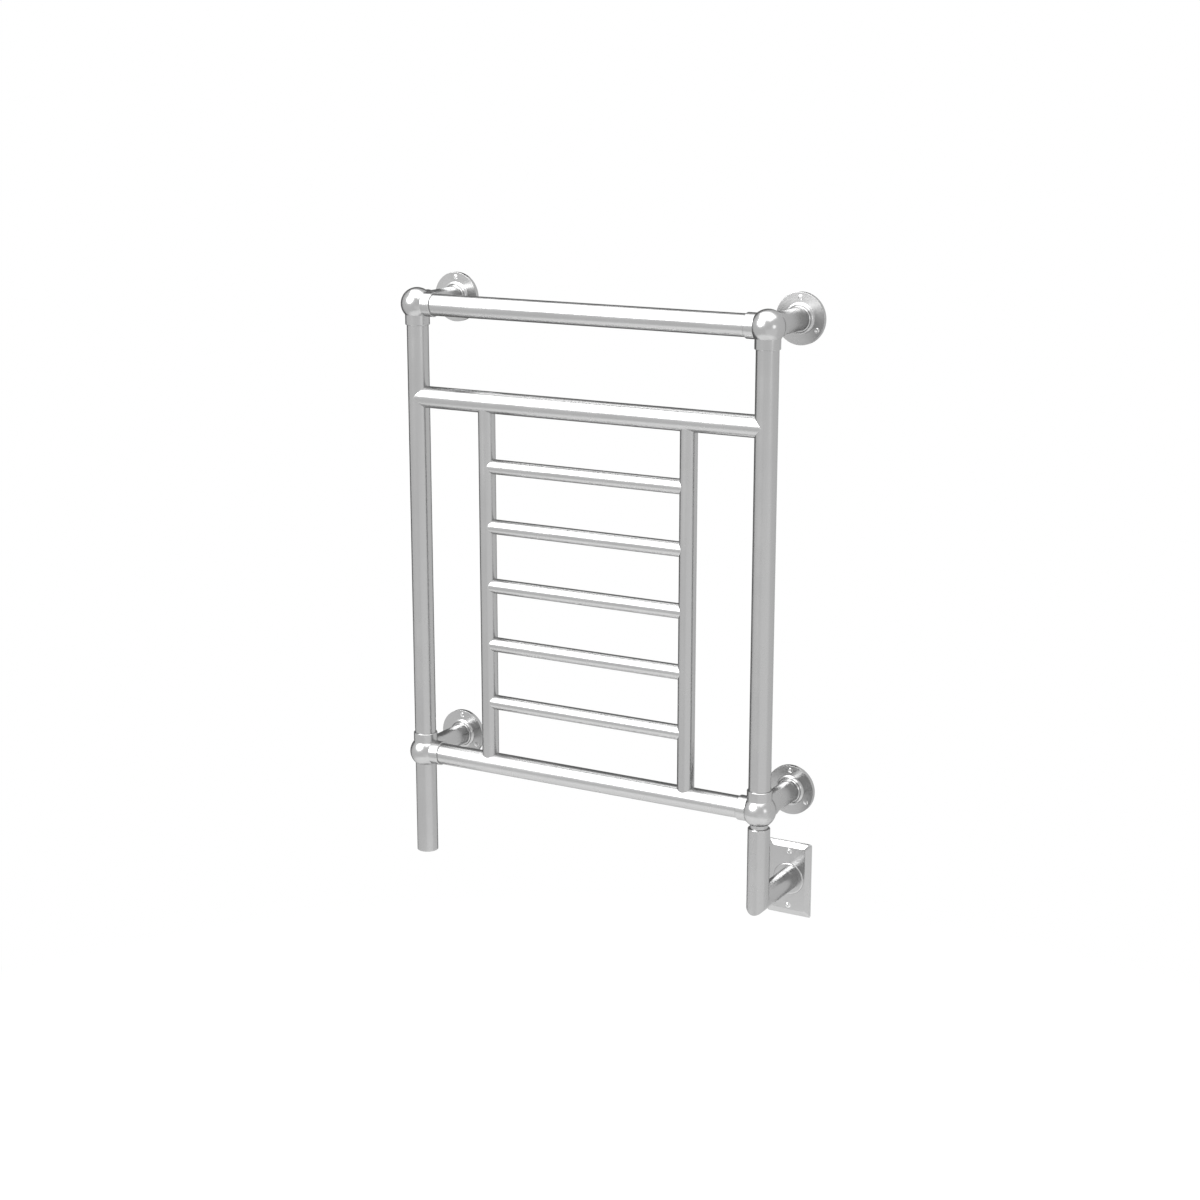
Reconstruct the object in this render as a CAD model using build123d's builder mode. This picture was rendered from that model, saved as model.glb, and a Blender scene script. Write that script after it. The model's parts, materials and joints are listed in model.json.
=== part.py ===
from build123d import *

import os
from math import sqrt

# Wall-hung electric towel warmer rack, in millimetres.
# +X runs along the rails to the right, +Y goes into the wall, +Z is up.
# The wall is the plane Y = 0. The origin is the centre of the rectangle that the
# uppermost screw holes of the four wall flanges make.

# ---- driving dimensions ----------------------------------------------------

# rack layout, between tube axes
post_spacing = 564.0
rail_span = 683.0  # top rail above bottom rail
second_rail_drop = 136.0  # second rail below top rail
stile_inset = 117.2  # stile in from its post
rung_count = 5
rung_top_offset = 93.9  # first rung below second rail
rung_bottom_offset = 95.9  # last rung above bottom rail
stand_off = 109.3  # rack tubes in front of the wall
leg_length = 159.0  # end of the left leg below the bottom rail

# tubes
main_tube_d = 32.0
stile_d = 25.0
rung_d = 22.0
tube_wall = 1.5
braze_gap = 0.1  # between a coped end and the tube it is brazed to

# corner balls
ball_over_collar = 6.0  # ball radius beyond collar radius
socket_wall = 1.9
socket_clearance = 0.1  # radial, round a tube in its socket
socket_depth = 12.5
seat_gap = 0.2  # between a tube's end and the floor of its socket
leg_stop = 13.5  # floor of the leg's socket below the ball's centre

# wall flanges
flange_d = 73.5
flange_thickness = 6.5
flange_web = 3.0  # metal behind the arm's socket
hub_height = 6.3
hub_flare = 4.0
screw_circle_d = 59.0
screw_count = 3
screw_hole_d = 5.2
screw_sink_d = 7.3
screw_sink_angle = 82.0

# heating element, screwed up into the lower right ball
neck_d = 26.0
neck_length = 25.4
neck_chamfer = 1.0
spot_face_margin = 0.85  # spot face radius beyond neck radius
element_thread_d = 20.8
element_thread_length = 11.6
thread_clearance = 0.1  # radial
rod_d = 12.5
rod_length = 480.0  # above the neck
rod_chamfer = 2.0

# outlet elbow, turning on the element's neck
neck_clearance = 0.08  # radial
elbow_stub = 2.0  # end of the elbow's body behind its own riser
elbow_top = 25.5  # rim below the ball's centre
elbow_drop = 137.0  # outlet axis below the bottom rail
elbow_chamfer = 1.5

# cover plate, for a single-gang wall box
plate_width = 69.85
plate_height = 114.3
plate_depth = 5.0
plate_edge_depth = 3.0  # height of the steep edge
plate_edge_inset = 1.9
plate_bevel_width = 8.0
plate_corner_r = 3.0
plate_sheet = 1.2
plate_tube_gap = 0.5  # radial
plate_screw_spacing = 83.34
plate_screw_hole_d = 4.3
ring_d = 48.0
ring_thickness = 1.5
ring_chamfer = 0.7
ring_clearance = 0.08  # radial, sliding on the elbow

# plug in the end of the left leg
plug_flange = 2.0
plug_spigot = 12.0
plug_clearance = 0.1  # radial
plug_key = 10.0
plug_key_depth = 8.0

# ---- derived dimensions ----------------------------------------------------

main_r = main_tube_d / 2
main_bore_r = main_r - tube_wall
socket_r = main_r + socket_clearance
collar_r = socket_r + socket_wall
ball_r = collar_r + ball_over_collar
socket_stop = collar_r  # sockets start where neighbouring collars end
collar_reach = socket_stop + socket_depth
tube_start = socket_stop + seat_gap

screw_circle_r = screw_circle_d / 2
post_x = post_spacing / 2
stile_x = post_x - stile_inset
rack_y = -stand_off
bottom_z = -(rail_span / 2 + screw_circle_r)
top_z = bottom_z + rail_span
second_z = top_z - second_rail_drop
first_rung_z = second_z - rung_top_offset
rung_pitch = (first_rung_z - bottom_z - rung_bottom_offset) / (rung_count - 1)

LEFT, RIGHT = Vector(-1, 0, 0), Vector(1, 0, 0)
DOWN, UP = Vector(0, 0, -1), Vector(0, 0, 1)
TO_ROOM, TO_WALL = Vector(0, -1, 0), Vector(0, 1, 0)

top_left, top_right = Vector(-post_x, rack_y, top_z), Vector(post_x, rack_y, top_z)
bottom_left, bottom_right = Vector(-post_x, rack_y, bottom_z), Vector(post_x, rack_y, bottom_z)


def save(piece, name):
    """Label a finished piece and write it to its own file."""
    piece.part.label = name
    export_step(piece.part, f"parts/{name}.step")


def seen_from_room(point):
    """Plane through point that faces the room, with X to the right and Y up."""
    return Plane(origin=point, x_dir=RIGHT, z_dir=TO_ROOM)


def tube(start, end, outer_d, mate=None):
    """Straight tube from start to end.

    A mate, given as (diameter, direction), runs across each end of the axis; both ends are coped to it.
    """
    run = end - start
    with BuildPart() as piece:
        with BuildSketch(Plane(origin=start, z_dir=run)):
            Circle(outer_d / 2)
            Circle(outer_d / 2 - tube_wall, mode=Mode.SUBTRACT)
        extrude(amount=run.length)
        if mate:
            mate_d, mate_direction = mate
            for point in (start, end):
                with BuildSketch(Plane(origin=point, z_dir=mate_direction)):
                    Circle(mate_d / 2 + braze_gap)
                extrude(amount=outer_d, both=True, mode=Mode.SUBTRACT)
    return piece


def corner_ball(centre, collars, bores=()):
    """Ball fitting with a stopped tube socket in each collar.

    Bores are further upright holes, given as (radius, start and end below the ball's centre).
    """
    with BuildPart() as piece:
        with Locations(centre):
            Sphere(ball_r)
        for direction in collars:
            with BuildSketch(Plane(origin=centre, z_dir=direction)):
                Circle(collar_r)
            extrude(amount=collar_reach)
        for direction in collars:
            with BuildSketch(Plane(origin=centre + direction * socket_stop, z_dir=direction)):
                Circle(socket_r)
            extrude(amount=socket_depth, mode=Mode.SUBTRACT)
        for radius, start, end in bores:
            with BuildSketch(Plane(origin=centre + DOWN * start, z_dir=DOWN)):
                Circle(radius)
            extrude(amount=end - start, mode=Mode.SUBTRACT)
    return piece


os.makedirs("parts", exist_ok=True)

# ---- ladder frame ----------------------------------------------------------

for side, x in (("left", -post_x), ("right", post_x)):
    post = tube(Vector(x, rack_y, bottom_z + tube_start), Vector(x, rack_y, top_z - tube_start), main_tube_d)
    save(post, f"post_{side}")

for name, z in (("top_rail", top_z), ("bottom_rail", bottom_z)):
    rail_end = Vector(post_x - tube_start, rack_y, z)
    save(tube(Vector(-rail_end.X, rack_y, z), rail_end, main_tube_d), name)

second_rail = tube(
    Vector(-post_x, rack_y, second_z),
    Vector(post_x, rack_y, second_z),
    main_tube_d,
    mate=(main_tube_d, UP),
)
save(second_rail, "second_rail")

for side, x in (("left", -stile_x), ("right", stile_x)):
    stile = tube(
        Vector(x, rack_y, bottom_z),
        Vector(x, rack_y, second_z),
        stile_d,
        mate=(main_tube_d, RIGHT),
    )
    save(stile, f"stile_{side}")

for number in range(rung_count):
    z = first_rung_z - number * rung_pitch
    rung = tube(Vector(-stile_x, rack_y, z), Vector(stile_x, rack_y, z), rung_d, mate=(stile_d, UP))
    save(rung, f"rung_{number + 1}")

# ---- corner balls ----------------------------------------------------------

top_left_ball = corner_ball(top_left, (DOWN, RIGHT, TO_WALL))
top_right_ball = corner_ball(top_right, (DOWN, LEFT, TO_WALL))

# the left leg enters its ball without a collar
leg_ball = corner_ball(bottom_left, (UP, RIGHT, TO_WALL), bores=[(socket_r, leg_stop, ball_r)])

# the element screws up against a spot face, and its rod passes on into the post
neck_r = neck_d / 2
port_r = element_thread_d / 2 + thread_clearance
spot_face_r = neck_r + spot_face_margin
spot_face = sqrt(ball_r**2 - spot_face_r**2)
element_ball = corner_ball(
    bottom_right,
    (UP, LEFT, TO_WALL),
    bores=[(port_r, -socket_stop, ball_r), (spot_face_r, spot_face, ball_r)],
)

with BuildPart() as corner_balls:
    for ball in (top_left_ball, top_right_ball, leg_ball, element_ball):
        add(ball.part)
save(corner_balls, "corner_balls")

# ---- wall brackets ---------------------------------------------------------

# one flange and one arm stand on the wall as seen from the room, with Z out of the wall
hub_top = flange_thickness + hub_height
with BuildPart() as wall_flange:
    with BuildSketch(Plane.XZ):
        with BuildLine():
            Polyline(
                (0, 0),
                (flange_d / 2, 0),
                (flange_d / 2, flange_thickness),
                (collar_r, flange_thickness),
                (collar_r, hub_top),
                (socket_r, hub_top),
                (socket_r, flange_web),
                (0, flange_web),
                close=True,
            )
        make_face()
    revolve(axis=Axis.Z)
    face_edges = wall_flange.edges().filter_by(GeomType.CIRCLE).group_by(Axis.Z)[-2].sort_by(SortBy.RADIUS)
    chamfer(face_edges[0], hub_flare)
    with Locations((0, 0, flange_thickness)):
        with PolarLocations(screw_circle_r, screw_count, start_angle=90):
            CounterSinkHole(screw_hole_d / 2, screw_sink_d / 2, counter_sink_angle=screw_sink_angle)

bracket_arm = tube(UP * (flange_web + seat_gap), UP * (stand_off - tube_start), main_tube_d)

corners = (top_left, top_right, bottom_left, bottom_right)
brackets = [seen_from_room((corner.X, 0, corner.Z)) for corner in corners]
with BuildPart() as wall_flanges:
    with Locations(*brackets):
        add(wall_flange.part)
save(wall_flanges, "wall_flanges")

with BuildPart() as bracket_arms:
    with Locations(*brackets):
        add(bracket_arm.part)
save(bracket_arms, "bracket_arms")

# ---- left leg and its plug -------------------------------------------------

leg_end = bottom_left + DOWN * (leg_length - plug_flange)
left_leg = tube(bottom_left + DOWN * (leg_stop + seat_gap), leg_end, main_tube_d)
save(left_leg, "left_leg")

with BuildPart() as leg_plug:
    with BuildSketch(Plane(origin=leg_end, z_dir=DOWN)):
        Circle(main_r)
    extrude(amount=plug_flange)
    with BuildSketch(Plane(origin=leg_end)):
        Circle(main_bore_r - plug_clearance)
    extrude(amount=plug_spigot)
    with BuildSketch(Plane(origin=leg_end + DOWN * plug_flange)):
        RegularPolygon(plug_key / 2, side_count=6, major_radius=False)
    extrude(amount=plug_key_depth, mode=Mode.SUBTRACT)
save(leg_plug, "leg_plug")

# ---- heating element -------------------------------------------------------

neck_top = bottom_right + DOWN * spot_face
with BuildPart() as heating_element:
    with BuildSketch(Plane(origin=neck_top, z_dir=DOWN)):
        Circle(neck_r)
    extrude(amount=neck_length)
    chamfer(heating_element.edges().sort_by(Axis.Z)[0], neck_chamfer)
    with BuildSketch(Plane(origin=neck_top)):
        Circle(element_thread_d / 2)
    extrude(amount=element_thread_length)
    with BuildSketch(Plane(origin=neck_top)):
        Circle(rod_d / 2)
    extrude(amount=rod_length)
    chamfer(heating_element.edges().sort_by(Axis.Z)[-1], rod_chamfer)
save(heating_element, "heating_element")

# ---- outlet elbow ----------------------------------------------------------

# a straight run of tube goes on from the elbow's body to the wall
elbow_rim = bottom_right + DOWN * elbow_top
elbow_corner = bottom_right + DOWN * elbow_drop
elbow_end = elbow_corner + TO_WALL * (main_r + elbow_stub)
outlet = Vector(elbow_corner.X, 0, elbow_corner.Z)
with BuildPart() as elbow_body:
    with BuildLine():
        Polyline(elbow_rim, elbow_corner, elbow_end)
    with BuildSketch(Plane(origin=elbow_rim, z_dir=DOWN)):
        Circle(main_r)
        Circle(neck_r + neck_clearance, mode=Mode.SUBTRACT)
    sweep(transition=Transition.RIGHT)
    rim_edges = elbow_body.edges().filter_by(GeomType.CIRCLE).group_by(Axis.Z)[-1].sort_by(SortBy.RADIUS)
    chamfer(rim_edges[-1], elbow_chamfer)
save(elbow_body, "elbow_body")
save(tube(elbow_end, outlet, main_tube_d), "outlet_run")

# ---- cover plate -----------------------------------------------------------

plate_outlines = (
    (0, 0),
    (plate_edge_depth, plate_edge_inset),
    (plate_depth, plate_edge_inset + plate_bevel_width),
)
with BuildPart() as cover_plate:
    for height, inset in plate_outlines:
        with BuildSketch(seen_from_room(outlet + TO_ROOM * height)):
            RectangleRounded(plate_width - 2 * inset, plate_height - 2 * inset, plate_corner_r)
    loft(ruled=True)
    offset(amount=-plate_sheet, openings=cover_plate.faces().sort_by(Axis.Y)[-1])
    with BuildSketch(seen_from_room(outlet)):
        Circle(main_r + plate_tube_gap)
        with GridLocations(0, plate_screw_spacing, 1, 2):
            Circle(plate_screw_hole_d / 2)
    extrude(amount=plate_depth, mode=Mode.SUBTRACT)
save(cover_plate, "cover_plate")

with BuildPart() as trim_ring:
    with BuildSketch(seen_from_room(outlet + TO_ROOM * plate_depth)):
        Circle(ring_d / 2)
        Circle(main_r + ring_clearance, mode=Mode.SUBTRACT)
    extrude(amount=ring_thickness)
    ring_edges = trim_ring.edges().filter_by(GeomType.CIRCLE).group_by(Axis.Y)[0].sort_by(SortBy.RADIUS)
    chamfer(ring_edges[-1], ring_chamfer)
save(trim_ring, "trim_ring")
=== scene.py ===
import json
from math import atan, cos, degrees, pi, radians, sin, sqrt, tan

import bmesh
import bpy
from mathutils import Matrix, Vector


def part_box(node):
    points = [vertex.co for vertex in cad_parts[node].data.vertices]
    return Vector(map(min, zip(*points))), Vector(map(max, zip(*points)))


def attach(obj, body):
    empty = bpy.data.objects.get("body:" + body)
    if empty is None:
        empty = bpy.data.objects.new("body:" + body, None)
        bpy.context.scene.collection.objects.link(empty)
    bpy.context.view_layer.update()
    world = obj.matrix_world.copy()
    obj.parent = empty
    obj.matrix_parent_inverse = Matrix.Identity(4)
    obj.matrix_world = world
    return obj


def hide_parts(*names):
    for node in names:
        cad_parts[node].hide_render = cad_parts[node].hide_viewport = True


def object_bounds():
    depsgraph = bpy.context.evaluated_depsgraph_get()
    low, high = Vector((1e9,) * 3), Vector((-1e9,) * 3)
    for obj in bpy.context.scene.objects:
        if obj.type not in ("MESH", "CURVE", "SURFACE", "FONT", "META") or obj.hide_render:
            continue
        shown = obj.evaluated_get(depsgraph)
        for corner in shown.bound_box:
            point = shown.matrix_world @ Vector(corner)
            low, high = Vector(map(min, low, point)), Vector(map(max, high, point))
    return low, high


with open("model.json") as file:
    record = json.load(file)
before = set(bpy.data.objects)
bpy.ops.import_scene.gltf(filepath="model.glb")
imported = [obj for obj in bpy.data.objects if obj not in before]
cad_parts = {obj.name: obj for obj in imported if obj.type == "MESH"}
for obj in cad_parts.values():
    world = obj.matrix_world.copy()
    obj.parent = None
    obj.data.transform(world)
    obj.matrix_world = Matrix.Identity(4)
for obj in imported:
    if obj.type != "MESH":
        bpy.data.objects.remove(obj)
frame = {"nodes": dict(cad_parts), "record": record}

# Wall-hung electric towel warmer rack, in metres, in the part's own frame:
# +X runs along the rails to the right, +Y goes into the wall, +Z is up, and the wall is the plane Y = 0.
# Names in capitals are chosen here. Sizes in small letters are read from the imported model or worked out.

scene = bpy.context.scene
cad_low, cad_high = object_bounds()

MM = 0.001
SIDES = 96  # faces round a tube or a turned piece
SMALL_SIDES = 32  # faces round a screw
OVERCUT = 1.0 * MM  # how far a cutter reaches past the surface that it cuts
SHARP = radians(32)  # edges sharper than this stay crisp in the shading

LEFT, RIGHT = Vector((-1, 0, 0)), Vector((1, 0, 0))
DOWN, UP = Vector((0, 0, -1)), Vector((0, 0, 1))
TO_ROOM, TO_WALL = Vector((0, -1, 0)), Vector((0, 1, 0))


# ---- places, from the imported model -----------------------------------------

def span(node):
    """Lowest corner, highest corner and centre of a CAD node."""
    low, high = (Vector(corner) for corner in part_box(node))
    return low, high, (low + high) / 2


mounts = {mount["name"]: mount for mount in frame["record"]["mounts"]}
post_low, post_high, post_middle = span("post_right")
stile_low, stile_high, stile_middle = span("stile_right")
rung_low, rung_high, _ = span("rung_1")
_, ball_high, _ = span("corner_balls")
flange_low, flange_high, _ = span("wall_flanges")
leg_low, leg_high, _ = span("left_leg")
element_low, element_high, _ = span("heating_element")
_, elbow_high, _ = span("elbow_body")
outlet_low, _, outlet = span("outlet_run")
plate_low, plate_high, _ = span("cover_plate")
ring_low, ring_high, _ = span("trim_ring")
plug_low, plug_high, _ = span("leg_plug")

post_x, rack_y = post_middle.x, post_middle.y
stile_x = stile_middle.x
top_z, second_z, bottom_z = (span(f"{name}_rail")[2].z for name in ("top", "second", "bottom"))
main_r = (post_high.x - post_low.x) / 2
stile_r = (stile_high.x - stile_low.x) / 2
rung_r = (rung_high.z - rung_low.z) / 2
ball_r = ball_high.x - post_x
collar_reach = ball_high.y - rack_y
flange_r = flange_high.x - post_x
flange_depth = flange_high.y - flange_low.y

TUBE_WALL = 1.5 * MM
BRAZE_GAP = 0.01 * MM  # left at a coped end: the braze closes the CAD's 0.1 mm almost wholly
COLLAR_WALL = 2.0 * MM
SOCKET_CLEARANCE = 0.1 * MM
SEAT_GAP = 0.2 * MM  # between a tube's end and the stop of its socket
collar_r = main_r + COLLAR_WALL
socket_r = main_r + SOCKET_CLEARANCE
socket_stop = collar_r
tube_start = socket_stop + SEAT_GAP


def in_rack(x, z):
    """Point in the plane of the tubes' axes."""
    return Vector((x, rack_y, z))


# ---- materials --------------------------------------------------------------

def add_node(tree, kind, location, **inputs):
    """New shader node with some of its input values set; a space in an input's name is written as _."""
    made = tree.nodes.new(kind)
    made.location = location
    for name, value in inputs.items():
        made.inputs[name.replace("_", " ")].default_value = value
    return made


COLOUR_SWING = 0.03  # share by which a metal's colour varies either way
WEAR_RADIUS = 0.6 * MM
WORN_ROUGHNESS = 0.12  # added where an edge is worn
BEST_POLISH = 0.8  # share of a metal's own roughness where it is smoothest
WORST_POLISH = 1.3


def metal(name, colour, worn_colour, edge_tint, roughness, ripple, grain):
    """Bare or plated metal: uneven polish, faint marks, ripples of the drawn surface and worn edges."""
    material = bpy.data.materials.new(name)
    material.use_nodes = True
    tree = material.node_tree
    link = tree.links.new
    shader = tree.nodes["Principled BSDF"]
    shader.inputs["Metallic"].default_value = 1.0
    shader.inputs["Specular Tint"].default_value = (edge_tint, edge_tint, edge_tint, 1)

    place = add_node(tree, "ShaderNodeTexCoord", (-1400, 0))
    clouds = add_node(tree, "ShaderNodeTexNoise", (-1100, 250), Scale=9.0, Detail=4.0, Roughness=0.6)
    marks = add_node(tree, "ShaderNodeTexNoise", (-1100, -50), Scale=420.0, Detail=3.0, Roughness=0.7)
    waves = add_node(tree, "ShaderNodeTexNoise", (-1100, -350), Scale=38.0, Detail=1.0)
    for texture in (clouds, marks, waves):
        link(place.outputs["Object"], texture.inputs["Vector"])

    # edges where the normal turns within a small radius
    rounded = add_node(tree, "ShaderNodeBevel", (-1100, -650), Radius=WEAR_RADIUS)
    rounded.samples = 4
    surface = add_node(tree, "ShaderNodeNewGeometry", (-1100, -850))
    agree = add_node(tree, "ShaderNodeVectorMath", (-900, -700))
    agree.operation = "DOT_PRODUCT"
    link(rounded.outputs["Normal"], agree.inputs[0])
    link(surface.outputs["Normal"], agree.inputs[1])
    worn = add_node(tree, "ShaderNodeMapRange", (-700, -700), From_Min=0.97, From_Max=0.80)
    link(agree.outputs["Value"], worn.inputs["Value"])

    tint = add_node(tree, "ShaderNodeMix", (-700, 300))
    tint.data_type = "RGBA"
    tint.inputs["A"].default_value = (*(channel * (1 - COLOUR_SWING) for channel in colour), 1)
    tint.inputs["B"].default_value = (*(channel * (1 + COLOUR_SWING) for channel in colour), 1)
    link(clouds.outputs["Fac"], tint.inputs["Factor"])
    edged = add_node(tree, "ShaderNodeMix", (-450, 300))
    edged.data_type = "RGBA"
    edged.inputs["B"].default_value = (*worn_colour, 1)
    link(worn.outputs["Result"], edged.inputs["Factor"])
    link(tint.outputs["Result"], edged.inputs["A"])
    link(edged.outputs["Result"], shader.inputs["Base Color"])

    polish = add_node(tree, "ShaderNodeMapRange", (-700, 0), From_Min=0.3, From_Max=0.7,
                      To_Min=roughness * BEST_POLISH, To_Max=roughness * WORST_POLISH)
    link(clouds.outputs["Fac"], polish.inputs["Value"])
    scuffed = add_node(tree, "ShaderNodeMath", (-450, 0))
    scuffed.operation = "MULTIPLY_ADD"
    scuffed.inputs[1].default_value = WORN_ROUGHNESS
    link(worn.outputs["Result"], scuffed.inputs[0])
    link(polish.outputs["Result"], scuffed.inputs[2])
    link(scuffed.outputs["Value"], shader.inputs["Roughness"])

    broad = add_node(tree, "ShaderNodeBump", (-450, -350), Strength=1.0, Distance=ripple)
    link(waves.outputs["Fac"], broad.inputs["Height"])
    fine = add_node(tree, "ShaderNodeBump", (-200, -250), Strength=1.0, Distance=grain)
    link(marks.outputs["Fac"], fine.inputs["Height"])
    link(broad.outputs["Normal"], fine.inputs["Normal"])
    link(fine.outputs["Normal"], shader.inputs["Normal"])
    return material


polished = metal("polished_metal", colour=(0.42, 0.42, 0.42), worn_colour=(0.48, 0.48, 0.48), edge_tint=0.72,
                 roughness=0.24, ripple=0.0024 * MM, grain=0.0004 * MM)
sheath = metal("element_sheath", colour=(0.40, 0.39, 0.38), worn_colour=(0.36, 0.35, 0.34), edge_tint=0.5,
               roughness=0.36, ripple=0.004 * MM, grain=0.004 * MM)
screw_metal = metal("screw_metal", colour=(0.60, 0.60, 0.60), worn_colour=(0.70, 0.70, 0.70), edge_tint=0.80,
                    roughness=0.20, ripple=0.002 * MM, grain=0.001 * MM)


# ---- mesh tools -------------------------------------------------------------

def new_object(name, data):
    """Object in the scene with the given mesh, lamp or camera."""
    made = bpy.data.objects.new(name, data)
    scene.collection.objects.link(made)
    return made


def from_bmesh(name, bm):
    """Object in the scene made of a finished bmesh, which is freed."""
    mesh = bpy.data.meshes.new(name)
    bm.to_mesh(mesh)
    bm.free()
    return new_object(name, mesh)


def across(axis):
    """Two unit vectors square to the axis and to each other."""
    first = (UP if abs(axis.z) < 0.5 else RIGHT).cross(axis).normalized()
    return first, axis.cross(first)


def circle(centre, axis, radius, sides=SIDES):
    """Points of a circle round the axis."""
    first, second = across(axis)
    turns = (2 * pi * i / sides for i in range(sides))
    return [centre + (first * cos(turn) + second * sin(turn)) * radius for turn in turns]


def arc(centre, radius, start, end, steps=8):
    """Profile points (radius, height) of an arc, from start to end in degrees."""
    angles = (radians(start + (end - start) * i / steps) for i in range(steps + 1))
    return [(centre[0] + radius * cos(angle), centre[1] + radius * sin(angle)) for angle in angles]


def dome(base_r, rise, steps):
    """Profile points (radius, height) of a screw head's dome, between its rim and its top."""
    dome_r = (base_r**2 + rise**2) / (2 * rise)
    radii = (base_r * (1 - i / steps) for i in range(1, steps))
    return [(radius, rise - dome_r + sqrt(dome_r**2 - radius**2)) for radius in radii]


def solid(name, rings, hollow=False):
    """Object skinned over rings of points, closed on itself if hollow and capped at both ends if not."""
    bm = bmesh.new()
    rows = [[bm.verts.new(point) for point in ring] for ring in rings]
    after = rows[1:] + rows[:1] if hollow else rows[1:]
    for low, high in zip(rows, after):
        for i, corner in enumerate(low):
            j = (i + 1) % len(low)
            bm.faces.new((corner, low[j], high[j], high[i]))
    if not hollow:
        bm.faces.new(rows[0][::-1])
        bm.faces.new(rows[-1])
    bmesh.ops.recalc_face_normals(bm, faces=bm.faces)
    return from_bmesh(name, bm)


def turned(name, origin, axis, profile, sides=SIDES, hollow=False):
    """Solid of a profile of (radius, height) points turned round the axis."""
    rings = [circle(origin + axis * height, axis, radius, sides) for radius, height in profile]
    return solid(name, rings, hollow)


def combine(base, tools, operation):
    """Joins tools to base or cuts them from it, and deletes the tools."""
    for tool in tools:
        step = base.modifiers.new(operation.lower(), "BOOLEAN")
        step.operation = operation
        step.solver = "MANIFOLD"
        step.object = tool
    graph = bpy.context.evaluated_depsgraph_get()
    result = bpy.data.meshes.new_from_object(base.evaluated_get(graph))
    base.modifiers.clear()
    old = base.data
    base.data = result
    bpy.data.meshes.remove(old)
    for tool in tools:
        bpy.data.meshes.remove(tool.data)
    return base


def merge(name, parts):
    """One object made of separate solids."""
    bm = bmesh.new()
    for part in parts:
        bm.from_mesh(part.data)
        bpy.data.meshes.remove(part.data)
    return from_bmesh(name, bm)


def piece(made, body, nodes=(), material=polished):
    """Finishes an object as a piece of the rack, riding on a body in place of CAD nodes."""
    made.data.name = made.name
    made.data.shade_smooth()
    made.data.set_sharp_from_angle(angle=SHARP)
    shading = made.modifiers.new("shading", "WEIGHTED_NORMAL")
    shading.weight = 90
    shading.keep_sharp = True
    made.data.materials.clear()
    made.data.materials.append(material)
    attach(made, body)
    if nodes:
        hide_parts(*nodes)
    return made


# ---- tubes ------------------------------------------------------------------

END_BAND = 1.5 * MM  # short band of faces at each end of a tube, which keeps the shading even


def tube(name, start, end, radius, mate=None):
    """Straight tube from start to end.

    A mate, given as (radius, direction), runs across each end of the axis; both ends are coped to it.
    """
    axis = (end - start).normalized()
    middle = (start + end) / 2
    half = (end - start).length / 2

    def ring(skin_r, end_side, inset):
        points = []
        for point in circle(middle, axis, skin_r):
            short = 0.0
            if mate:
                aside = (point - middle).dot(axis.cross(mate[1]))
                short = sqrt((mate[0] + BRAZE_GAP) ** 2 - aside**2)
            points.append(point + axis * end_side * (half - short - inset))
        return points

    bore = radius - TUBE_WALL
    rings = [ring(radius, -1, 0), ring(radius, -1, END_BAND), ring(radius, 1, END_BAND), ring(radius, 1, 0)]
    rings += [ring(bore, 1, 0), ring(bore, -1, 0)]
    return solid(name, rings, hollow=True)


for side, sign in (("left", -1), ("right", 1)):
    x = sign * post_x
    post = tube(f"post_{side}_tube", in_rack(x, post_low.z), in_rack(x, post_high.z), main_r)
    piece(post, "rack", [f"post_{side}"])
    x = sign * stile_x
    stile = tube(f"stile_{side}_tube", in_rack(x, bottom_z), in_rack(x, second_z), stile_r, (main_r, RIGHT))
    piece(stile, "rack", [f"stile_{side}"])

for name in ("top_rail", "bottom_rail"):
    low, high, centre = span(name)
    rail = tube(f"{name}_tube", in_rack(low.x, centre.z), in_rack(high.x, centre.z), main_r)
    piece(rail, "rack", [name])

second_rail = tube("second_rail_tube", in_rack(-post_x, second_z), in_rack(post_x, second_z),
                   main_r, (main_r, UP))
piece(second_rail, "rack", ["second_rail"])

for name in sorted(n for n in frame["nodes"] if n.startswith("rung_")):
    z = span(name)[2].z
    rung = tube(f"{name}_tube", in_rack(-stile_x, z), in_rack(stile_x, z), rung_r, (stile_r, UP))
    piece(rung, "rack", [name])

leg = tube("left_leg_tube", in_rack(-post_x, leg_high.z), in_rack(-post_x, leg_low.z), main_r)
piece(leg, "rack", ["left_leg"])


# ---- corner balls -----------------------------------------------------------

COLLAR_ROOT = 8 * MM  # collars start this deep inside the ball
COLLAR_CHAMFER = 0.7 * MM
PORT_R = 10.5 * MM  # bore for the element's thread
SPOT_FACE_R = 13.85 * MM
LEG_STOP = 13.5 * MM  # the leg's socket starts this far below the ball's centre
PORT_OVERRUN = 0.1 * MM  # how far the port runs into the post's socket
spot_face = sqrt(ball_r**2 - SPOT_FACE_R**2)  # how far below the ball's centre the spot face lies


def sphere(name, centre, radius):
    """Sphere of even triangles."""
    bm = bmesh.new()
    bmesh.ops.create_icosphere(bm, subdivisions=6, radius=radius, matrix=Matrix.Translation(centre))
    return from_bmesh(name, bm)


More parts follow.
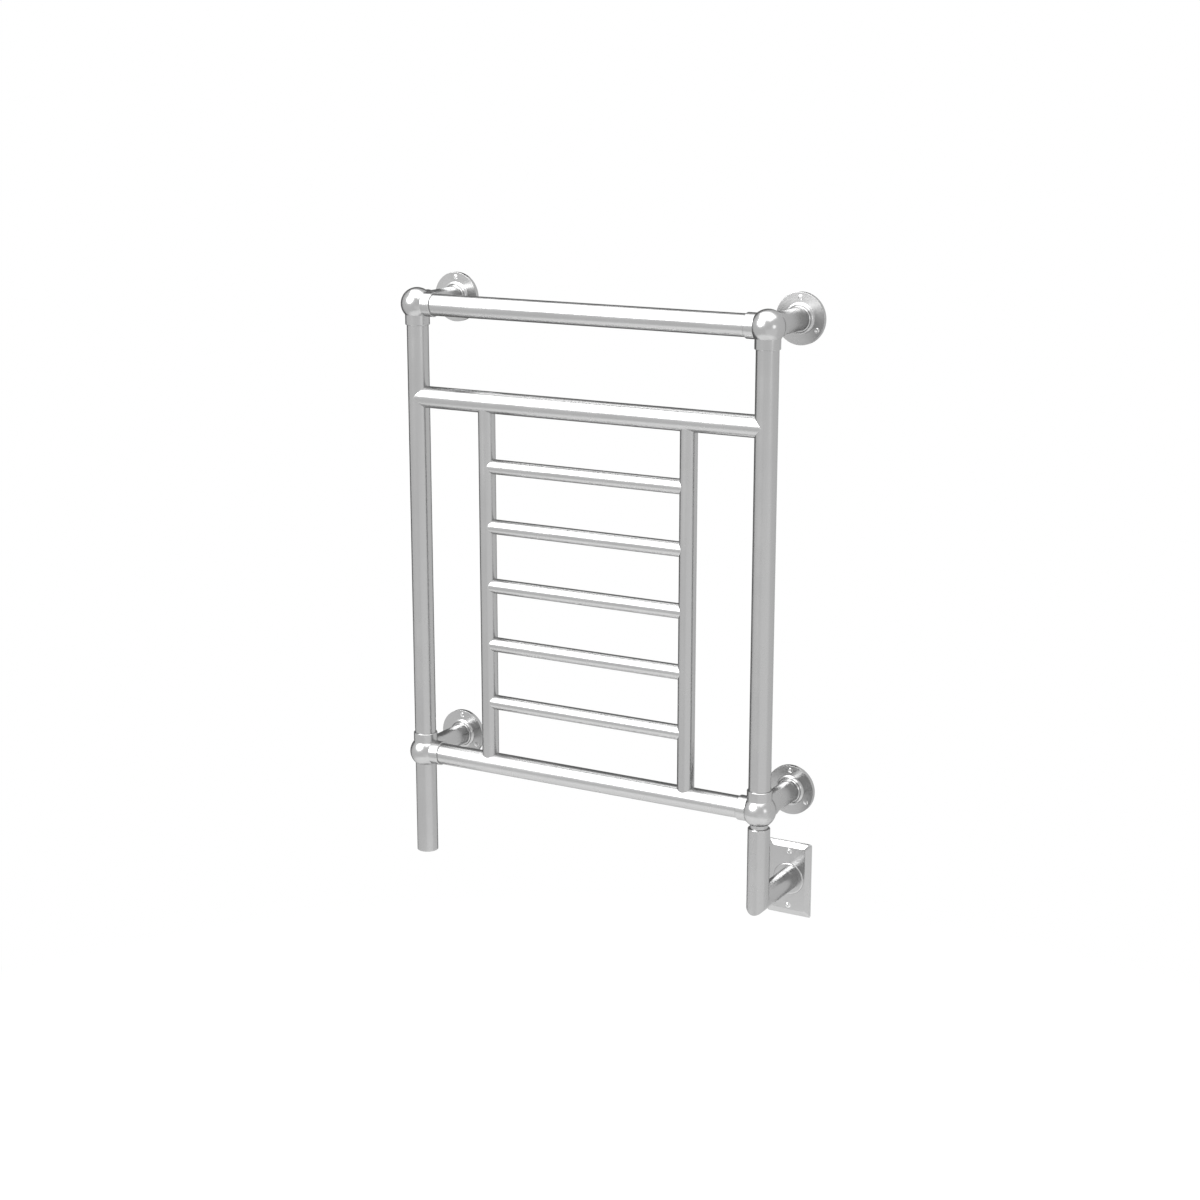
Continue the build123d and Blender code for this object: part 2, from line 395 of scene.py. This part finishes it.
def corner_ball(name, centre, directions, bores=()):
    """Ball fitting with a collar and a stopped socket for each tube.

    Bores are (radius, from, to), measured down from the centre.
    """
    collar = [(collar_r, COLLAR_ROOT), (collar_r, collar_reach - COLLAR_CHAMFER),
              (collar_r - COLLAR_CHAMFER, collar_reach)]
    socket = [(socket_r, socket_stop), (socket_r, collar_reach + OVERCUT)]
    ball = sphere(name, centre, ball_r)
    collars = [turned("collar", centre, direction, collar) for direction in directions]
    combine(ball, collars, "UNION")
    cuts = [turned("socket", centre, direction, socket) for direction in directions]
    cuts += [turned("bore", centre, DOWN, [(radius, start), (radius, end)]) for radius, start, end in bores]
    return combine(ball, cuts, "DIFFERENCE")


past_ball = ball_r + OVERCUT
leg_bores = [(socket_r, LEG_STOP, past_ball)]
element_bores = [(PORT_R, -socket_stop - PORT_OVERRUN, past_ball), (SPOT_FACE_R, spot_face, past_ball)]
corners = {
    "top_left": (in_rack(-post_x, top_z), (DOWN, RIGHT, TO_WALL), ()),
    "top_right": (in_rack(post_x, top_z), (DOWN, LEFT, TO_WALL), ()),
    "bottom_left": (in_rack(-post_x, bottom_z), (UP, RIGHT, TO_WALL), leg_bores),
    "bottom_right": (in_rack(post_x, bottom_z), (UP, LEFT, TO_WALL), element_bores),
}
for corner, (centre, directions, bores) in corners.items():
    piece(corner_ball(f"ball_{corner}", centre, directions, bores), "rack", ["corner_balls"])


# ---- wall brackets ----------------------------------------------------------

FLANGE_THICKNESS = 6.5 * MM  # at the hub
RIM_THICKNESS = 6.3 * MM
FLANGE_WEB = 3.0 * MM
RIM_ROUND = 0.3 * MM
HUB_FILLET = 5.0 * MM
HUB_FILLET_STEPS = 12
HUB_CHAMFER = 1.0 * MM
screw_mount = mounts["flange_holes_top_left"]["dims"]
screw_circle_r = screw_mount["pcd_mm"] * MM / 2
screw_hole_r = screw_mount["hole_r_mm"] * MM
SINK_R = 3.65 * MM
SINK_SLOPE = 1.15  # depth of the countersink for each unit of radius
SHANK_CLEARANCE = 0.25 * MM
HEAD_R = 3.6 * MM
HEAD_RISE = 0.6 * MM
RECESS_DEPTH = 1.3 * MM
RECESS_REACH = 2.0 * MM
RECESS_WIDTH = 0.9 * MM
RECESS_TOP = 2.0 * MM  # how far a recess's cutter stands over the head
RECESS_FOOT = 0.33  # share of its length that a recess keeps at the bottom
HEAD_STEPS = 8
CROSS_TURN, CROSS_SPREAD = 20, 50  # degrees: least turn of a cross recess, and how much more it may have
CROSS_CHANGE = 1e3  # degrees for each metre of a screw's place, which makes the turns differ
face_slope = (FLANGE_THICKNESS - RIM_THICKNESS) / (flange_r - collar_r - HUB_FILLET)
screw_face = RIM_THICKNESS + face_slope * (flange_r - screw_circle_r)  # thickness at the screw circle


def screw_places(foot):
    """Where the three screws of a flange pass through its front face, one of them uppermost."""
    face = foot + TO_ROOM * screw_face
    turns = (pi / 2 + 2 * pi * i / screw_mount["count"] for i in range(screw_mount["count"]))
    return [face + (RIGHT * cos(turn) + UP * sin(turn)) * screw_circle_r for turn in turns]


def bar(name, centre, long, high, length, height, width):
    """Block that cuts a recess, with a long direction and a high one; it is shorter at its foot."""
    wide = long.cross(high)
    ring = [(-1, -1), (1, -1), (1, 1), (-1, 1)]
    rings = [[centre + high * level + long * (a * length * reach) + wide * (b * width / 2) for a, b in ring]
             for level, reach in ((-height, RECESS_FOOT), (0, 1.0), (RECESS_TOP, 1.0))]
    return solid(name, rings)


def wall_flange(name, foot):
    """Turned flange: slightly coned face, filleted hub, socket for the arm and three countersunk holes."""
    rim_centre = (flange_r - RIM_ROUND, RIM_THICKNESS - RIM_ROUND)
    fillet_centre = (collar_r + HUB_FILLET, FLANGE_THICKNESS + HUB_FILLET)
    profile = [(flange_r, 0)]
    profile += arc(rim_centre, RIM_ROUND, 0, 90 - degrees(atan(face_slope)))
    profile += arc(fillet_centre, HUB_FILLET, 270, 180, HUB_FILLET_STEPS)
    profile += [(collar_r, flange_depth - HUB_CHAMFER), (collar_r - HUB_CHAMFER, flange_depth)]
    profile += [(socket_r, flange_depth), (socket_r, FLANGE_WEB)]
    flange = turned(name, foot, TO_ROOM, profile)
    sink_end = (SINK_R - screw_hole_r) * SINK_SLOPE
    hole = [(screw_hole_r, -screw_face - OVERCUT), (screw_hole_r, -sink_end), (SINK_R, 0), (SINK_R, OVERCUT)]
    holes = [turned("hole", place, TO_ROOM, hole, SMALL_SIDES) for place in screw_places(foot)]
    return combine(flange, holes, "DIFFERENCE")


def flange_screw(place):
    """Countersunk wood screw with a cross recess in its head, cut off at the wall's face."""
    shank_r = screw_hole_r - SHANK_CLEARANCE
    profile = [(shank_r, -screw_face), (shank_r, -(HEAD_R - shank_r) * SINK_SLOPE), (HEAD_R, 0)]
    profile += dome(HEAD_R, HEAD_RISE, HEAD_STEPS)
    screw = turned("screw", place, TO_ROOM, profile, SMALL_SIDES)
    top = place + TO_ROOM * HEAD_RISE
    tilt = radians(CROSS_TURN + CROSS_CHANGE * abs(place.x + place.z) % CROSS_SPREAD)
    arms = [Matrix.Rotation(tilt + turn, 3, "Y") @ RIGHT for turn in (0, pi / 2)]
    cuts = [bar("recess", top, arm, TO_ROOM, RECESS_REACH, RECESS_DEPTH, RECESS_WIDTH) for arm in arms]
    return combine(screw, cuts, "DIFFERENCE")


for corner, (centre, _, _) in corners.items():
    foot = Vector((centre.x, 0, centre.z))
    piece(wall_flange(f"flange_{corner}", foot), "rack", ["wall_flanges"])
    arm_foot = foot + TO_ROOM * (FLANGE_WEB + SEAT_GAP)
    arm = tube(f"arm_{corner}", arm_foot, centre + TO_WALL * tube_start, main_r)
    piece(arm, "rack", ["bracket_arms"])
    screws = merge(f"flange_screws_{corner}", [flange_screw(place) for place in screw_places(foot)])
    piece(screws, "rack", material=screw_metal)


# ---- leg plug ---------------------------------------------------------------

PLUG_CHAMFER = 0.5 * MM
PLUG_FLANGE = 2.0 * MM
KEY_ACROSS = 10 * MM
KEY_DEPTH = 8 * MM
SPIGOT_GAP = 0.1 * MM
plug_end = in_rack(-post_x, plug_low.z)
plug_top = plug_high.z - plug_low.z
spigot_r = main_r - TUBE_WALL - SPIGOT_GAP
plug = turned("leg_end_plug", plug_end, UP, [
    (main_r - PLUG_CHAMFER, 0), (main_r, PLUG_CHAMFER), (main_r, PLUG_FLANGE),
    (spigot_r, PLUG_FLANGE), (spigot_r, plug_top - PLUG_CHAMFER), (spigot_r - PLUG_CHAMFER, plug_top)])
key_corner = KEY_ACROSS / 2 / cos(pi / 6)
key = turned("key", plug_end, UP, [(key_corner, -OVERCUT), (key_corner, KEY_DEPTH)], sides=6)
piece(combine(plug, [key], "DIFFERENCE"), "rack", ["leg_plug"])


# ---- heating element --------------------------------------------------------

NECK_CHAMFER = 1.0 * MM
THREAD_R = 10.4 * MM
THREAD_LENGTH = 11.6 * MM
THREAD_PITCH = 1.8 * MM
THREAD_DEPTH = 0.9 * MM
ROD_R = 6.25 * MM
ROD_CHAMFER = 2.0 * MM
NECK_LAP = 1.0 * MM  # how far the neck's end reaches inside the thread

neck_r = (element_high.x - element_low.x) / 2
neck_end = in_rack(post_x, element_low.z)
neck_top = bottom_z - spot_face - element_low.z
rod_top = element_high.z - element_low.z
root_r = THREAD_R - THREAD_DEPTH
neck_profile = [(neck_r - NECK_CHAMFER, 0), (neck_r, NECK_CHAMFER), (neck_r, neck_top)]
neck_profile += [(THREAD_R, neck_top), (root_r, neck_top + NECK_LAP)]
piece(turned("element_neck", neck_end, UP, neck_profile), "rack", ["heating_element"])

thread_turns = int(THREAD_LENGTH / THREAD_PITCH)
thread_end = neck_top + thread_turns * THREAD_PITCH
rod_profile = []
for turn in range(thread_turns):
    height = neck_top + turn * THREAD_PITCH
    rod_profile += [(root_r, height), (THREAD_R, height + THREAD_PITCH / 2)]
rod_profile += [(root_r, thread_end), (ROD_R, thread_end)]
rod_profile += [(ROD_R, rod_top - ROD_CHAMFER), (ROD_R - ROD_CHAMFER, rod_top)]
piece(turned("element_rod", neck_end, UP, rod_profile), "rack", ["heating_element"], sheath)


# ---- outlet elbow -----------------------------------------------------------

RIM_RADIUS = 1.5 * MM
SLIP_FIT = 0.08 * MM  # room between a shaft and the bore that turns or slides on it
MITRE_BAND = 2.0 * MM  # from the mitre's far ends to the next ring of faces
WALL_BAND = 1.0 * MM
rim = elbow_high.z
neck_bore_r = neck_r + SLIP_FIT
outlet_bore_r = main_r - TUBE_WALL
body_end = outlet_low.y


def elbow_ring(radius, y=None, z=None):
    """Ring of the elbow: upright at a height z, level at a depth y, or mitred if neither is given."""
    ring = []
    for i in range(SIDES):
        turn = 2 * pi * i / SIDES
        forth = radius * sin(turn)
        ring.append(Vector((post_x + radius * cos(turn), rack_y + forth if y is None else y,
                            outlet.z + forth if z is None else z)))
    return ring


rim_arc = arc((main_r - RIM_RADIUS, -RIM_RADIUS), RIM_RADIUS, 90, 0)
elbow_rings = [elbow_ring(radius, z=rim + height) for radius, height in rim_arc]
elbow_rings += [
    elbow_ring(main_r, z=outlet.z + main_r + MITRE_BAND),
    elbow_ring(main_r),
    elbow_ring(main_r, y=rack_y + main_r + MITRE_BAND),
    elbow_ring(main_r, y=-WALL_BAND),
    elbow_ring(main_r, y=0),
    elbow_ring(outlet_bore_r, y=0),
    elbow_ring(outlet_bore_r, y=body_end),
    elbow_ring(neck_bore_r, y=body_end),
    elbow_ring(neck_bore_r),
    elbow_ring(neck_bore_r, z=rim),
]
piece(solid("elbow_tube", elbow_rings, hollow=True), "elbow", ["elbow_body", "outlet_run"])


# ---- cover plate ------------------------------------------------------------

EDGE_DEPTH = 2.0 * MM  # how far off the wall the bevel starts
EDGE_INSET = 1.9 * MM  # how far the edge leans in up to there
BEVEL_WIDTH = 7.0 * MM
CORNER_R = 3.0 * MM
SHEET = 1.2 * MM
PLATE_CUT = 9.0 * MM  # height of the cutters, more than the plate's depth
HOLE_CLEARANCE = 0.5 * MM
plate_mount = mounts["plate_screw_holes"]["dims"]
plate_screw_r = plate_mount["hole_r_mm"] * MM
plate_screw_z = plate_mount["spacing_y_mm"] * MM / 2
plate_depth = plate_high.y - plate_low.y
plate_w = plate_high.x - plate_low.x
plate_h = plate_high.z - plate_low.z
plate_centre = Vector((post_x, 0, outlet.z))


def outline(width, height, corner_r, y, steps=8):
    """Ring of a rectangle with rounded corners, at some depth."""
    ring = []
    for quarter, (a, b) in enumerate(((1, 1), (-1, 1), (-1, -1), (1, -1))):
        cx, cz = a * (width / 2 - corner_r), b * (height / 2 - corner_r)
        for i in range(steps + 1):
            turn = pi / 2 * (quarter + i / steps)
            ring.append(plate_centre + Vector((cx + corner_r * cos(turn), y, cz + corner_r * sin(turn))))
    return ring


def plate_shell(name, inset, front, back):
    """Solid of the plate's outer form, taken in by inset."""
    rings = []
    for depth, step in ((back, 0), (EDGE_DEPTH, EDGE_INSET), (front, EDGE_INSET + BEVEL_WIDTH)):
        taken = 2 * (inset + step)
        rings.append(outline(plate_w - taken, plate_h - taken, CORNER_R - inset / 2, -depth))
    return solid(name, rings)


plate = plate_shell("cover_plate_shell", 0, plate_depth, 0)
soften = plate.modifiers.new("soften", "BEVEL")
soften.width = 0.5 * MM
soften.segments = 3
soften.limit_method = "ANGLE"
soften.angle_limit = radians(12)
plate_cuts = [plate_shell("pocket", SHEET, plate_depth - SHEET, -OVERCUT)]
outlet_hole_r = main_r + HOLE_CLEARANCE
outlet_hole = [(outlet_hole_r, -OVERCUT), (outlet_hole_r, PLATE_CUT)]
plate_cuts.append(turned("outlet_hole", plate_centre, TO_ROOM, outlet_hole))
screw_hole = [(plate_screw_r, -OVERCUT), (plate_screw_r, PLATE_CUT)]
for sign in (-1, 1):
    place = plate_centre + UP * sign * plate_screw_z
    plate_cuts.append(turned("screw_hole", place, TO_ROOM, screw_hole, SMALL_SIDES))
piece(combine(plate, plate_cuts, "DIFFERENCE"), "plate", ["cover_plate"])

OVAL_R = 4.4 * MM
OVAL_RISE = 1.9 * MM
OVAL_STEPS = 10
PLATE_SHANK_R = 1.7 * MM
SLOT_WIDTH = 1.2 * MM
SLOT_DEPTH = 1.0 * MM
SLOT_REACH = 6.0 * MM  # half the slot cutter's length, more than the head's radius
SLOT_TOP = 2.0 * MM
SLOT_TURN, SLOT_SPREAD = 35, 60  # degrees: least turn of a slot, and how much more it may have
SLOT_CHANGE = 2e3  # degrees for each metre of a screw's height, which makes the turns differ


def plate_screw(place):
    """Oval slotted head on a stretch of shank as long as the plate is deep."""
    profile = [(PLATE_SHANK_R, -plate_depth), (PLATE_SHANK_R, 0), (OVAL_R, 0)]
    profile += dome(OVAL_R, OVAL_RISE, OVAL_STEPS)
    screw = turned("screw", place, TO_ROOM, profile, SMALL_SIDES)
    turn = radians(SLOT_TURN + SLOT_CHANGE * abs(place.z) % SLOT_SPREAD)
    along = Matrix.Rotation(turn, 3, "Y") @ RIGHT
    wide = along.cross(TO_ROOM) * SLOT_WIDTH / 2
    top = place + TO_ROOM * OVAL_RISE
    signs = [(-1, -1), (1, -1), (1, 1), (-1, 1)]
    rings = [[top + TO_ROOM * depth + along * (a * SLOT_REACH) + wide * b for a, b in signs]
             for depth in (-SLOT_DEPTH, SLOT_TOP)]
    return combine(screw, [solid("slot", rings)], "DIFFERENCE")


plate_front = plate_centre + TO_ROOM * plate_depth
heads = merge("plate_screws", [plate_screw(plate_front + UP * sign * plate_screw_z) for sign in (-1, 1)])
piece(heads, "plate", material=screw_metal)

RING_ROUND = 1.4 * MM  # depth of the ring's rounded outer edge
RING_SHOULDER = 2.6 * MM  # width of that edge
ring_r = (ring_high.x - ring_low.x) / 2
ring_bore_r = main_r + SLIP_FIT
ring_thickness = ring_high.y - ring_low.y
ring_edge = [(ring_r - RING_SHOULDER * (1 - x), ring_thickness - RING_ROUND * (1 - y))
             for x, y in arc((0, 0), 1, 0, 90)]
ring_profile = [(ring_r, 0), *ring_edge, (ring_bore_r, ring_thickness), (ring_bore_r, 0)]
piece(turned("trim_ring_piece", plate_front, TO_ROOM, ring_profile, hollow=True), "plate", ["trim_ring"])


# ---- stage ------------------------------------------------------------------

FLOOR_DROP = 0.75  # from the rack's lowest point to the floor
FLOOR_HALF = 30.0  # half the floor's side
POOL_Y = -0.15  # middle of the matt pool of floor below the rack, which fades into plain white
POOL_R = 1.0
POOL_END = 2.0  # radius at which the pool has faded out
POOL_GLOW = 0.38  # strength of the white that the camera and reflections see in the pool
POOL_COLOUR = 0.68  # matt colour of the pool
WORLD_LIGHT = 0.3  # strength at which the world lights the rack; it is seen at strength 1
floor_z = cad_low.z - FLOOR_DROP


def seen_white(tree, shader, strength):
    """Adds white to a shader for what the camera, reflections and refractions see of it.

    The strength is a number or another node's output.
    """
    link = tree.links.new
    path = add_node(tree, "ShaderNodeLightPath", (-700, -200))
    seen = path.outputs["Is Camera Ray"]
    for i, ray in enumerate(("Is Glossy Ray", "Is Transmission Ray")):
        either = add_node(tree, "ShaderNodeMath", (-500, -200 - 200 * i))
        either.operation = "MAXIMUM"
        link(seen, either.inputs[0])
        link(path.outputs[ray], either.inputs[1])
        seen = either.outputs["Value"]
    glow = add_node(tree, "ShaderNodeEmission", (-300, -300), Color=(1, 1, 1, 1))
    scaled = add_node(tree, "ShaderNodeMath", (-300, -500))
    scaled.operation = "MULTIPLY"
    link(seen, scaled.inputs[0])
    if isinstance(strength, float):
        scaled.inputs[1].default_value = strength
    else:
        link(strength, scaled.inputs[1])
    link(scaled.outputs["Value"], glow.inputs["Strength"])
    both = add_node(tree, "ShaderNodeAddShader", (-100, -100))
    link(shader.outputs[0], both.inputs[0])
    link(glow.outputs["Emission"], both.inputs[1])
    return both


floor_mesh = bpy.data.meshes.new("floor")
floor_corners = [(a * FLOOR_HALF, b * FLOOR_HALF, floor_z) for a, b in ((-1, -1), (1, -1), (1, 1), (-1, 1))]
floor_mesh.from_pydata(floor_corners, [], [(0, 1, 2, 3)])
floor = new_object("floor", floor_mesh)
floor_material = bpy.data.materials.new("floor")
floor_material.use_nodes = True
floor_tree = floor_material.node_tree
floor_tree.nodes.remove(floor_tree.nodes["Principled BSDF"])
matt = add_node(floor_tree, "ShaderNodeBsdfDiffuse", (-300, 0))
floor_place = add_node(floor_tree, "ShaderNodeTexCoord", (-1500, -500))
from_pool = add_node(floor_tree, "ShaderNodeVectorMath", (-1300, -500))
from_pool.operation = "DISTANCE"
from_pool.inputs[1].default_value = (0, POOL_Y, floor_z)
floor_tree.links.new(floor_place.outputs["Object"], from_pool.inputs[0])


def fade(inside, outside):
    """Node output that goes from one value in the pool below the rack to another outside it."""
    blend = add_node(floor_tree, "ShaderNodeMapRange", (-1100, -500),
                     From_Min=POOL_R, From_Max=POOL_END, To_Min=inside, To_Max=outside)
    blend.interpolation_type = "SMOOTHSTEP"
    floor_tree.links.new(from_pool.outputs["Value"], blend.inputs["Value"])
    return blend.outputs["Result"]


glow_level = fade(POOL_GLOW, 1.0)
floor_tree.links.new(fade(POOL_COLOUR, 0.0), matt.inputs["Color"])
floor_tree.links.new(seen_white(floor_tree, matt, glow_level).outputs[0],
                     floor_tree.nodes["Material Output"].inputs["Surface"])
floor_mesh.materials.append(floor_material)

world = bpy.data.worlds.new("studio")
scene.world = world
world.use_nodes = True
world_tree = world.node_tree
sky = world_tree.nodes["Background"]
sky.inputs["Color"].default_value = (1, 1, 1, 1)
sky.inputs["Strength"].default_value = WORLD_LIGHT
world_tree.links.new(seen_white(world_tree, sky, 1 - WORLD_LIGHT).outputs[0],
                     world_tree.nodes["World Output"].inputs["Surface"])


def softbox(name, place, target, size, radiance, shape="RECTANGLE"):
    """Area lamp at a place, turned to a target, whose face shines with the given radiance."""
    lamp = bpy.data.lights.new(name, "AREA")
    lamp.shape = shape
    lamp.size, lamp.size_y = size
    area = size[0] * size[1] * (pi / 4 if shape == "DISK" else 1)
    lamp.energy = radiance * area * pi
    made = new_object(name, lamp)
    made.location = place
    made.rotation_mode = "QUATERNION"
    made.rotation_quaternion = (Vector(target) - Vector(place)).to_track_quat("-Z", "Y")


def from_rack(azimuth, elevation, distance):
    """Point at a distance from the frame's origin: azimuth from -Y towards +X, angles in degrees."""
    a, e = radians(azimuth), radians(elevation)
    return Vector((sin(a) * cos(e), -cos(a) * cos(e), sin(e))) * distance


ORIGIN = (0, 0, 0)
softbox("overhead", (0, -1.2, 5.0), target=(0, -1.2, 0), size=(8.0, 6.0), radiance=2.5)
softbox("front_left", from_rack(-28, 30, 8), ORIGIN, size=(7.0, 7.0), radiance=2.0, shape="DISK")
softbox("front_left_core", from_rack(-27, 31, 7.8), ORIGIN, size=(5.6, 5.6), radiance=7.0, shape="DISK")
softbox("floor_glow", (4.2, -3.5, floor_z + 0.02), target=(4.2, -3.5, 0), size=(7.0, 7.0), radiance=0.17)
softbox("spark", from_rack(66, 8, 6), ORIGIN, size=(1.9, 1.9), radiance=2.0, shape="DISK")


# ---- camera -----------------------------------------------------------------

CAMERA_YAW = 29.38  # degrees, looking to the left of +Y
CAMERA_PITCH = 13.96  # degrees, looking down
CAMERA_PLACE = (1.54619, -2.8131, 0.6751)
camera_data = bpy.data.cameras.new("camera")
camera_data.sensor_width = 36.0
camera_data.lens = 66.74
camera_data.clip_start = 0.05
camera = new_object("camera", camera_data)
camera.location = CAMERA_PLACE
camera.rotation_euler = (radians(90 - CAMERA_PITCH), 0, radians(CAMERA_YAW))
scene.camera = camera


# ---- surround ---------------------------------------------------------------

# A grey shell behind the rack, which the camera doesn't see. Reflected in the edges of bright metal, it draws
# their thin dark outlines.
SURROUND_LOW_R = 1.45  # close enough to stand in front of the floor
SURROUND_TOP_R = 5.0
SURROUND_HOLE = 2  # degrees off the camera's axis where the shell starts
SURROUND_STEP = 6
SURROUND_REACH = 62  # degrees off the camera's axis, upwards and to the left
REACH_RIGHT = 0.45  # share of that reach to the right
REACH_DOWN = 0.66
SURROUND_SIDES = 48
SURROUND_GREY = 0.22
camera_turn = camera.rotation_euler.to_matrix()


def surround_point(off, turn):
    """Point of the shell, off from the camera's axis by an angle and turned round that axis."""
    right = off * cos(turn) * (REACH_RIGHT if cos(turn) > 0 else 1)
    rise = off * sin(turn) * (REACH_DOWN if sin(turn) < 0 else 1)
    swing = sqrt(right**2 + rise**2)
    away = SURROUND_LOW_R + (SURROUND_TOP_R - SURROUND_LOW_R) * max(rise, 0) / radians(SURROUND_REACH)
    return camera_turn @ Vector((right, rise, -swing / tan(swing))) * (away * sin(swing) / swing)


offs = range(SURROUND_HOLE, SURROUND_REACH + 1, SURROUND_STEP)
shell_points = [surround_point(radians(off), 2 * pi * i / SURROUND_SIDES)
                for off in offs for i in range(SURROUND_SIDES)]
shell_faces = []
for first in range(0, (len(offs) - 1) * SURROUND_SIDES, SURROUND_SIDES):
    for i in range(SURROUND_SIDES):
        j = (i + 1) % SURROUND_SIDES
        shell_faces.append((first + i, first + j, first + SURROUND_SIDES + j, first + SURROUND_SIDES + i))
surround_mesh = bpy.data.meshes.new("surround")
surround_mesh.from_pydata(shell_points, [], shell_faces)
surround = new_object("surround", surround_mesh)
grey = bpy.data.materials.new("surround")
grey.use_nodes = True
grey.node_tree.nodes.remove(grey.node_tree.nodes["Principled BSDF"])
flat = add_node(grey.node_tree, "ShaderNodeEmission", (0, 0), Color=(1, 1, 1, 1), Strength=SURROUND_GREY)
grey.node_tree.links.new(flat.outputs["Emission"], grey.node_tree.nodes["Material Output"].inputs["Surface"])
surround_mesh.materials.append(grey)
surround.visible_camera = False
surround.visible_diffuse = False
surround.visible_shadow = False

scene.view_settings.view_transform = "Standard"
